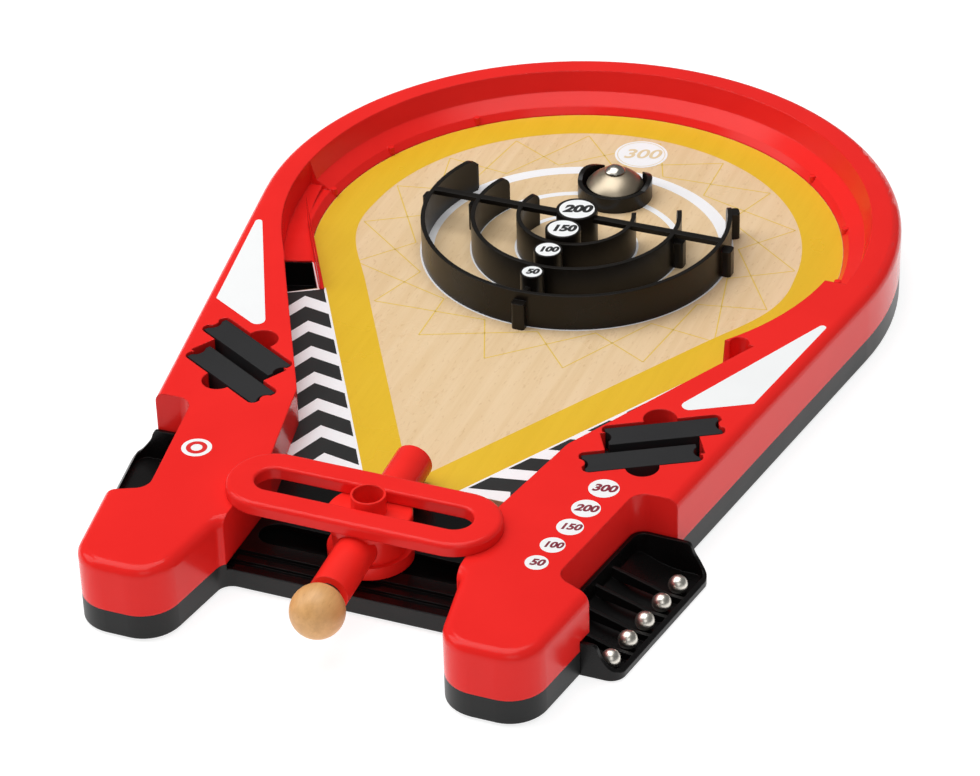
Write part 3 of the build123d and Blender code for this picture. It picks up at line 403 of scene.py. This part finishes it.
def shadeAndPolishBay():
    tree = finishes["baseBlack"].node_tree
    shader = tree.nodes["Principled BSDF"]
    place = addNode(tree, "ShaderNodeTexCoord")
    split = addNode(tree, "ShaderNodeSeparateXYZ")
    tree.links.new(place.outputs["Object"], split.inputs["Vector"])
    side = addNode(tree, "ShaderNodeMath", operation="ABSOLUTE")
    tree.links.new(split.outputs["X"], side.inputs[0])
    tests = ((side.outputs["Value"], "LESS_THAN", bayShadeAndGloss["half"] / 1000),
             (split.outputs["Y"], "LESS_THAN", spot(0, bayShadeAndGloss["back"], 0).y),
             (split.outputs["Y"], "GREATER_THAN", spot(0, bayShadeAndGloss["front"], 0).y),
             (split.outputs["Z"], "GREATER_THAN", bayShadeAndGloss["above"] / 1000))
    mask = None
    for source, operation, limit in tests:
        test = addNode(tree, "ShaderNodeMath", operation=operation)
        test.inputs[1].default_value = limit
        tree.links.new(source, test.inputs[0])
        if mask:
            both = addNode(tree, "ShaderNodeMath", operation="MULTIPLY")
            tree.links.new(mask, both.inputs[0])
            tree.links.new(test.outputs["Value"], both.inputs[1])
            mask = both.outputs["Value"]
        else:
            mask = test.outputs["Value"]
    # the blacker base colour here is painted shade; the lower roughness is the real gloss
    for label, kind, value in (("Base Color", "RGBA", (*bayShadeAndGloss["color"], 1)),
                               ("Roughness", "FLOAT", bayShadeAndGloss["roughness"])):
        change = addNode(tree, "ShaderNodeMix", data_type=kind)
        tree.links.new(shader.inputs[label].links[0].from_socket, change.inputs["A"])
        tree.links.new(mask, change.inputs["Factor"])
        change.inputs["B"].default_value = value
        tree.links.new(change.outputs["Result"], shader.inputs[label])


shadeAndPolishBay()
print("finishes made")

wears = {
    "shellRed": ("top_housing", "launcher_bridge"),
    "launcherRed": ("launcher_body", "barrel_tube"),
    "baseBlack": ("base_tray",),
    "targetBlack": ("target_rings", "bell_cup"),
    "trayBlack": ("lane_tray", "return_cup", "return_chute"),
    "bumperGrey": ("spare_bumper_left", "spare_bumper_right"),
    "bushBlack": ("barrel_bush", "hammer_tip", "slide_shoe"),
    "padRubber": ("rubber_pads",),
    "boardBirch": ("playfield_board",),
    "knobBeech": ("plunger_knob",),
    "bellNickel": ("bell_dome",),
    "nutChrome": ("bell_nut",),
    "ballSteel": ("steel_ball_1", "steel_ball_2", "steel_ball_3", "steel_ball_4", "steel_ball_5"),
    "rodSteel": ("plunger_rod", "plunger_spring"),
    "screwZinc": ("slide_washer", "launcher_screw", "housing_screws", "target_screws",
                  "bridge_screws"),
}
for finishName, nodeNames in wears.items():
    for nodeName in nodeNames:
        materials = bpy.data.objects[nodeName].data.materials
        materials.clear()
        materials.append(finishes[finishName])
print("solids finished")


def makeSpring():
    node = bpy.data.objects["plunger_spring"]
    mesh = node.data.copy()
    mesh.name = "springCoil"
    mesh.transform(node.matrix_world)
    coil = bpy.data.objects.new("springCoil", mesh)
    bpy.context.scene.collection.objects.link(coil)
    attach(coil, "plunger")
    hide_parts("plunger_spring")
    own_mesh(coil)


makeSpring()
print("spring wound")

# flat prints and stickers, one or more hairs above what they lie on
hair = 0.03
surfaces = {"board": (boardTop, "board_wood"), "wallFoot": (boardTop, "housing_red"),
            "post": (postTop, "target_black"), "deck": (deckTop, "housing_red")}
number = {"slant": 0.28, "spacing": 1.0}


def placePrint(name, data, turn, finish):
    # the flat mesh of a filled curve or of a number
    outline = bpy.data.objects.new(name + "Outline", data)
    mesh = bpy.data.meshes.new_from_object(outline)
    mesh.name = name
    mesh.transform(turn)
    bpy.data.objects.remove(outline)
    mesh.materials.append(finishes[finish])
    piece = bpy.data.objects.new(name, mesh)
    bpy.context.scene.collection.objects.link(piece)
    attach(piece, "housing")


def printHeight(surface, layer):
    return surfaces[surface][0] + hair * layer


def makePrint(name, loops, surface, layer, finish):
    curve = bpy.data.curves.new(name, "CURVE")
    curve.dimensions = "2D"
    curve.fill_mode = "BOTH"
    for loop in loops:
        spline = curve.splines.new("POLY")
        spline.points.add(len(loop) - 1)
        for point, (x, y) in zip(spline.points, loop):
            point.co = (*spot(x, y, 0), 1)
        spline.use_cyclic_u = True
    lift = Matrix.Translation((0, 0, printHeight(surface, layer) / 1000))
    placePrint(name, curve, lift, finish)


def makeNumber(name, text, x, y, surface, layer, finish, size, angle, weight):
    # weight thickens the strokes, as a share of the size
    data = bpy.data.curves.new(name, "FONT")
    data.body = text
    data.size = size / 1000
    data.shear = number["slant"]
    data.offset = weight * size / 1000
    data.space_character = number["spacing"]
    data.align_x = "CENTER"
    data.align_y = "CENTER"
    place = Matrix.Translation(spot(x, y, printHeight(surface, layer)))
    turn = place @ Matrix.Rotation(math.radians(angle), 4, "Z")
    placePrint(name, data, turn, finish)


def arcPoints(x, y, radius, start, end, count):
    steps = [onCircle(radius, start + (end - start) * k / count) for k in range(count + 1)]
    return [(x + stepX, y + stepY) for stepX, stepY in steps]


def circlePoints(x, y, radius, count=96):
    return arcPoints(x, y, radius, 0, 360, count)[:-1]


def roundedLoop(points, radii, count=6):
    # a polygon with its corners rounded
    loop = []
    total = len(points)
    for k, radius in enumerate(radii):
        before, corner, after = (Vector(points[(k + s) % total]) for s in (-1, 0, 1))
        a = (before - corner).normalized()
        b = (after - corner).normalized()
        half = a.angle(b) / 2
        reach = radius / math.tan(half)
        middle = corner + (a + b).normalized() * (radius / math.sin(half))
        start = corner + a * reach - middle
        end = corner + b * reach - middle
        turn = start.angle_signed(end)
        for step in range(count + 1):
            angle = -turn * step / count
            loop.append((middle.x + start.x * math.cos(angle) - start.y * math.sin(angle),
                         middle.y + start.x * math.sin(angle) + start.y * math.cos(angle)))
    return loop


def halfOf(loop, keep):
    # the part of a loop where keep is positive
    cut = []
    for k, (x, y) in enumerate(loop):
        beforeX, beforeY = loop[k - 1]
        a, b = keep(beforeX, beforeY), keep(x, y)
        if a * b < 0:
            share = a / (a - b)
            cut.append((beforeX + (x - beforeX) * share, beforeY + (y - beforeY) * share))
        if b >= 0:
            cut.append((x, y))
    return cut


# the board's printed strips run along a slanted line on each side. On it, reach is the distance
# from the centre of the round end, and run goes to the back.
strip = {"angle": 29.88, "line": 116.2, "overlap": 0.6, "top": -14.8, "topLean": 0.02,
         "whiteLine": 1.0, "beyondFront": 40, "front": -195.9}
stripAcross = Vector(onCircle(1, -strip["angle"]))
stripAlong = Vector((-stripAcross.y, stripAcross.x))


def alongStrip(reach, run, side):
    point = stripAcross * reach + stripAlong * run
    return (side * point.x, point.y)


def runAt(reach, y):
    return (y - stripAcross.y * reach) / stripAlong.y


# yellow border: round at the back, straight along the strips. bend is where its inner edge starts
# to turn from the line to the circle, and over how many degrees.
border = {"edge": 119.9, "edgeFrom": -37.3, "edgeSteps": 90, "cornerY": -71.0, "lowWall": 117.0,
          "innerLine": 97.6, "innerRadius": 101.2, "innerCentre": 1.2, "bend": (-38, 43),
          "innerSteps": 120}


def borderLoops():
    start = border["edgeFrom"]
    outer = arcPoints(0, 0, border["edge"], start, 180 - start, border["edgeSteps"])
    corner, front = (alongStrip(strip["line"], runAt(strip["line"], y), 1)
                     for y in (border["cornerY"], strip["front"]))
    outer = [front, corner] + outer + [(-corner[0], corner[1]), (-front[0], front[1])]
    outer = halfOf(outer, lambda x, y: border["lowWall"] + x * stripAcross.x - y * stripAcross.y)
    bendFrom, bendOver = border["bend"]
    inner = []
    for k in range(border["innerSteps"] + 1):
        angle = -90 + 180 * k / border["innerSteps"]
        fromLine = border["innerLine"] / math.cos(math.radians(angle + strip["angle"]))
        circle = border["innerRadius"] + border["innerCentre"] * math.sin(math.radians(angle))
        share = min(max((angle - bendFrom) / bendOver, 0), 1)
        share = share * share * (3 - 2 * share)
        inner.append(onCircle(fromLine * (1 - share) + circle * share, angle))
    inner = inner + [(-x, y) for x, y in reversed(inner[1:-1])]
    return [outer, inner]


makePrint("yellowBorder", borderLoops(), "board", 1, "inkYellow")

# white line between the low wall and the return hole
holeLine = {"reach": (118.7, 119.3), "ends": (-52.0, -71.8)}


def makeHoleLine():
    low, high = holeLine["reach"]
    back, front = holeLine["ends"]
    ends = ((low, back), (high, back), (high, front), (low, front))
    loop = [alongStrip(reach, runAt(reach, y), -1) for reach, y in ends]
    makePrint("holeLine", [loop], "wallFoot", 1, "stickerWhite")


makeHoleLine()

# the wall of each wing, which has a bend, and how far a print goes under it
wing = {"reach": 148.0, "bend": (60.3, -172.0), "slopes": (0.516, 0.206), "under": 0.9}
chevrons = {"first": -19.8, "pitch": 20.5, "count": 9, "white": 8.7, "slope": 0.86,
            "apex": 125.8, "apexDrift": 0.037}


def besideWing(loop):
    # a loop on the right, trimmed at the wing wall and at the front of the board
    loop = halfOf(loop, lambda x, y: y - strip["front"])
    bendX, bendY = wing["bend"]
    wall = bendX + wing["under"]
    backHalf = halfOf(loop, lambda x, y: y - bendY)
    frontHalf = halfOf(loop, lambda x, y: bendY - y)
    pieces = []
    for piece, slope in zip((backHalf, frontHalf), wing["slopes"]):
        if len(piece) > 2:
            piece = halfOf(piece, lambda x, y: wall + (y - bendY) * slope - x)
        if len(piece) > 2:
            pieces.append(piece)
    return pieces


def printStrip(name, loop, side, layer, finish):
    for k, piece in enumerate(besideWing(loop)):
        placed = [(side * x, y) for x, y in piece]
        makePrint(name + str(k + 1), [placed], "board", layer, finish)


def makeStrips():
    low = strip["line"] - strip["overlap"]
    high = wing["reach"]
    top = strip["top"]
    front = runAt(low, strip["front"]) - strip["beyondFront"]
    corners = [(low, top), (high, top - (high - low) * strip["topLean"]),
               (high, front), (low, front)]
    whole = [alongStrip(reach, run, 1) for reach, run in corners]
    blackLow = low + strip["whiteLine"]
    ceiling = top - strip["whiteLine"]
    slope = chevrons["slope"]
    for side, tag in ((1, "Right"), (-1, "Left")):
        printStrip("stripWhite" + tag, whole, side, 2, "inkWhite")
        for k in range(-1, chevrons["count"]):
            head = chevrons["first"] - chevrons["white"] - k * chevrons["pitch"]
            tail = head - (chevrons["pitch"] - chevrons["white"])
            apex = chevrons["apex"] + (chevrons["first"] - head) * chevrons["apexDrift"]
            if k < 0:
                head = top + chevrons["pitch"]  # the first one is cut off by the white line
            loop = []
            for run, order in ((head, 1), (tail, -1)):
                row = [(blackLow, run - slope * (apex - blackLow)), (apex, run),
                       (high, run - slope * (high - apex))]
                loop += row[::order]
            points = [alongStrip(reach, min(run, ceiling), 1) for reach, run in loop]
            printStrip("chevron" + tag + str(k + 2), points, side, 3, "inkBlack")


makeStrips()

# white rings round the target: outer and inner radius
rings = {"outerWhiteRing": (70.8, 64.6), "middleWhiteRing": (48.2, 45.0),
         "innerWhiteRing": (28.0, 25.6)}
for ringName, radii in rings.items():
    makePrint(ringName, [circlePoints(0, 0, radius) for radius in radii], "board", 1, "inkWhite")

# thin crossing lines between the border and the rings
lattice = {"rim": 100.0, "inner": 73.0, "count": 18, "width": 0.55, "steps": (3, -1), "turn": 7.0,
           "layer": 0.8}


def lineLoop(start, end, width):
    start, end = Vector(start), Vector(end)
    along = (end - start).normalized() * width / 2
    side = Vector((-along.y, along.x))
    return [tuple(point) for point in (start + side, end + side, end - side, start - side)]


def makeLattice():
    pitch = 360 / lattice["count"]
    for k in range(lattice["count"]):
        angle = lattice["turn"] + pitch * k
        for step in lattice["steps"]:
            start = onCircle(lattice["rim"], angle)
            end = onCircle(lattice["inner"], angle + pitch * step / 2)
            loop = lineLoop(start, end, lattice["width"])
            makePrint("latticeLine%d_%d" % (k, step + 1), [loop], "board", lattice["layer"],
                      "inkPaleYellow")


makeLattice()

topDisc = {"place": (0, 87.2), "radius": 12.4, "ring": 11.3, "ringWidth": 0.35, "text": "300",
           "size": 11.5, "angle": 16.0, "weight": 0.02}


def makeTopDisc():
    x, y = topDisc["place"]
    makePrint("topDisc", [circlePoints(x, y, topDisc["radius"])], "board", 2, "inkWhite")
    ring = [circlePoints(x, y, topDisc["ring"] - inset) for inset in (0, topDisc["ringWidth"])]
    makePrint("topDiscLine", ring, "board", 3, "numberBeige")
    makeNumber("topDiscNumber", topDisc["text"], x, y, "board", 3, "numberBeige",
               topDisc["size"], topDisc["angle"], topDisc["weight"])


makeTopDisc()
print("board printed")

# number discs on the four posts, as x, y and radius
posts = {"50": (0, -55.2, 4.4), "100": (0, -35.6, 5.5), "150": (0, -16.7, 6.9),
         "200": (0, 1.1, 8.0)}
postText = {"angle": 17.0, "share": 1.02, "shortShare": 1.2, "weight": 0.058}

# score discs on the right wing
scores = {"50": (77.4, -251.6, 4.7), "100": (79.2, -238.8, 5.05), "150": (81.4, -225.3, 5.45),
          "200": (83.0, -211.5, 5.9), "300": (85.0, -196.3, 6.3)}
scoreText = {"angle": 10.0, "share": 1.02, "shortShare": 1.18, "weight": 0.045}


def makeNumberDiscs(kind, discs, lettering, surface, finish):
    for text, (x, y, radius) in discs.items():
        makePrint(kind + "Disc" + text, [circlePoints(x, y, radius)], surface, 1, "stickerWhite")
        share = lettering["share"] if len(text) == 3 else lettering["shortShare"]
        makeNumber(kind + "Number" + text, text, x, y, surface, 2, finish, radius * share,
                   lettering["angle"], lettering["weight"])


makeNumberDiscs("post", posts, postText, "post", "numberBlack")
makeNumberDiscs("score", scores, scoreText, "deck", "numberMaroon")

# a plain round mark on the left wing
plainMark = {"place": (-81.3, -225.1), "disc": 6.3, "outer": 4.4, "inner": 2.4}


def makeMark():
    disc, outer, inner = (circlePoints(*plainMark["place"], plainMark[k])
                          for k in ("disc", "outer", "inner"))
    makePrint("markDisc", [disc], "deck", 1, "stickerWhite")
    makePrint("markRing", [outer, inner], "deck", 2, "markRed")


makeMark()

# white stickers on both wings
sticker = {"points": [(135.6, -43.0), (122.6, -118.9), (90.6, -137.1)], "radii": (1.6, 0.8, 3.3)}


def makeStickers():
    for side, tag in ((1, "Right"), (-1, "Left")):
        points = [(side * x, y) for x, y in sticker["points"]]
        loop = roundedLoop(points[::-side], sticker["radii"][::-side])
        makePrint("wingSticker" + tag, [loop], "deck", 1, "stickerWhite")


makeStickers()
print("discs and stickers placed")
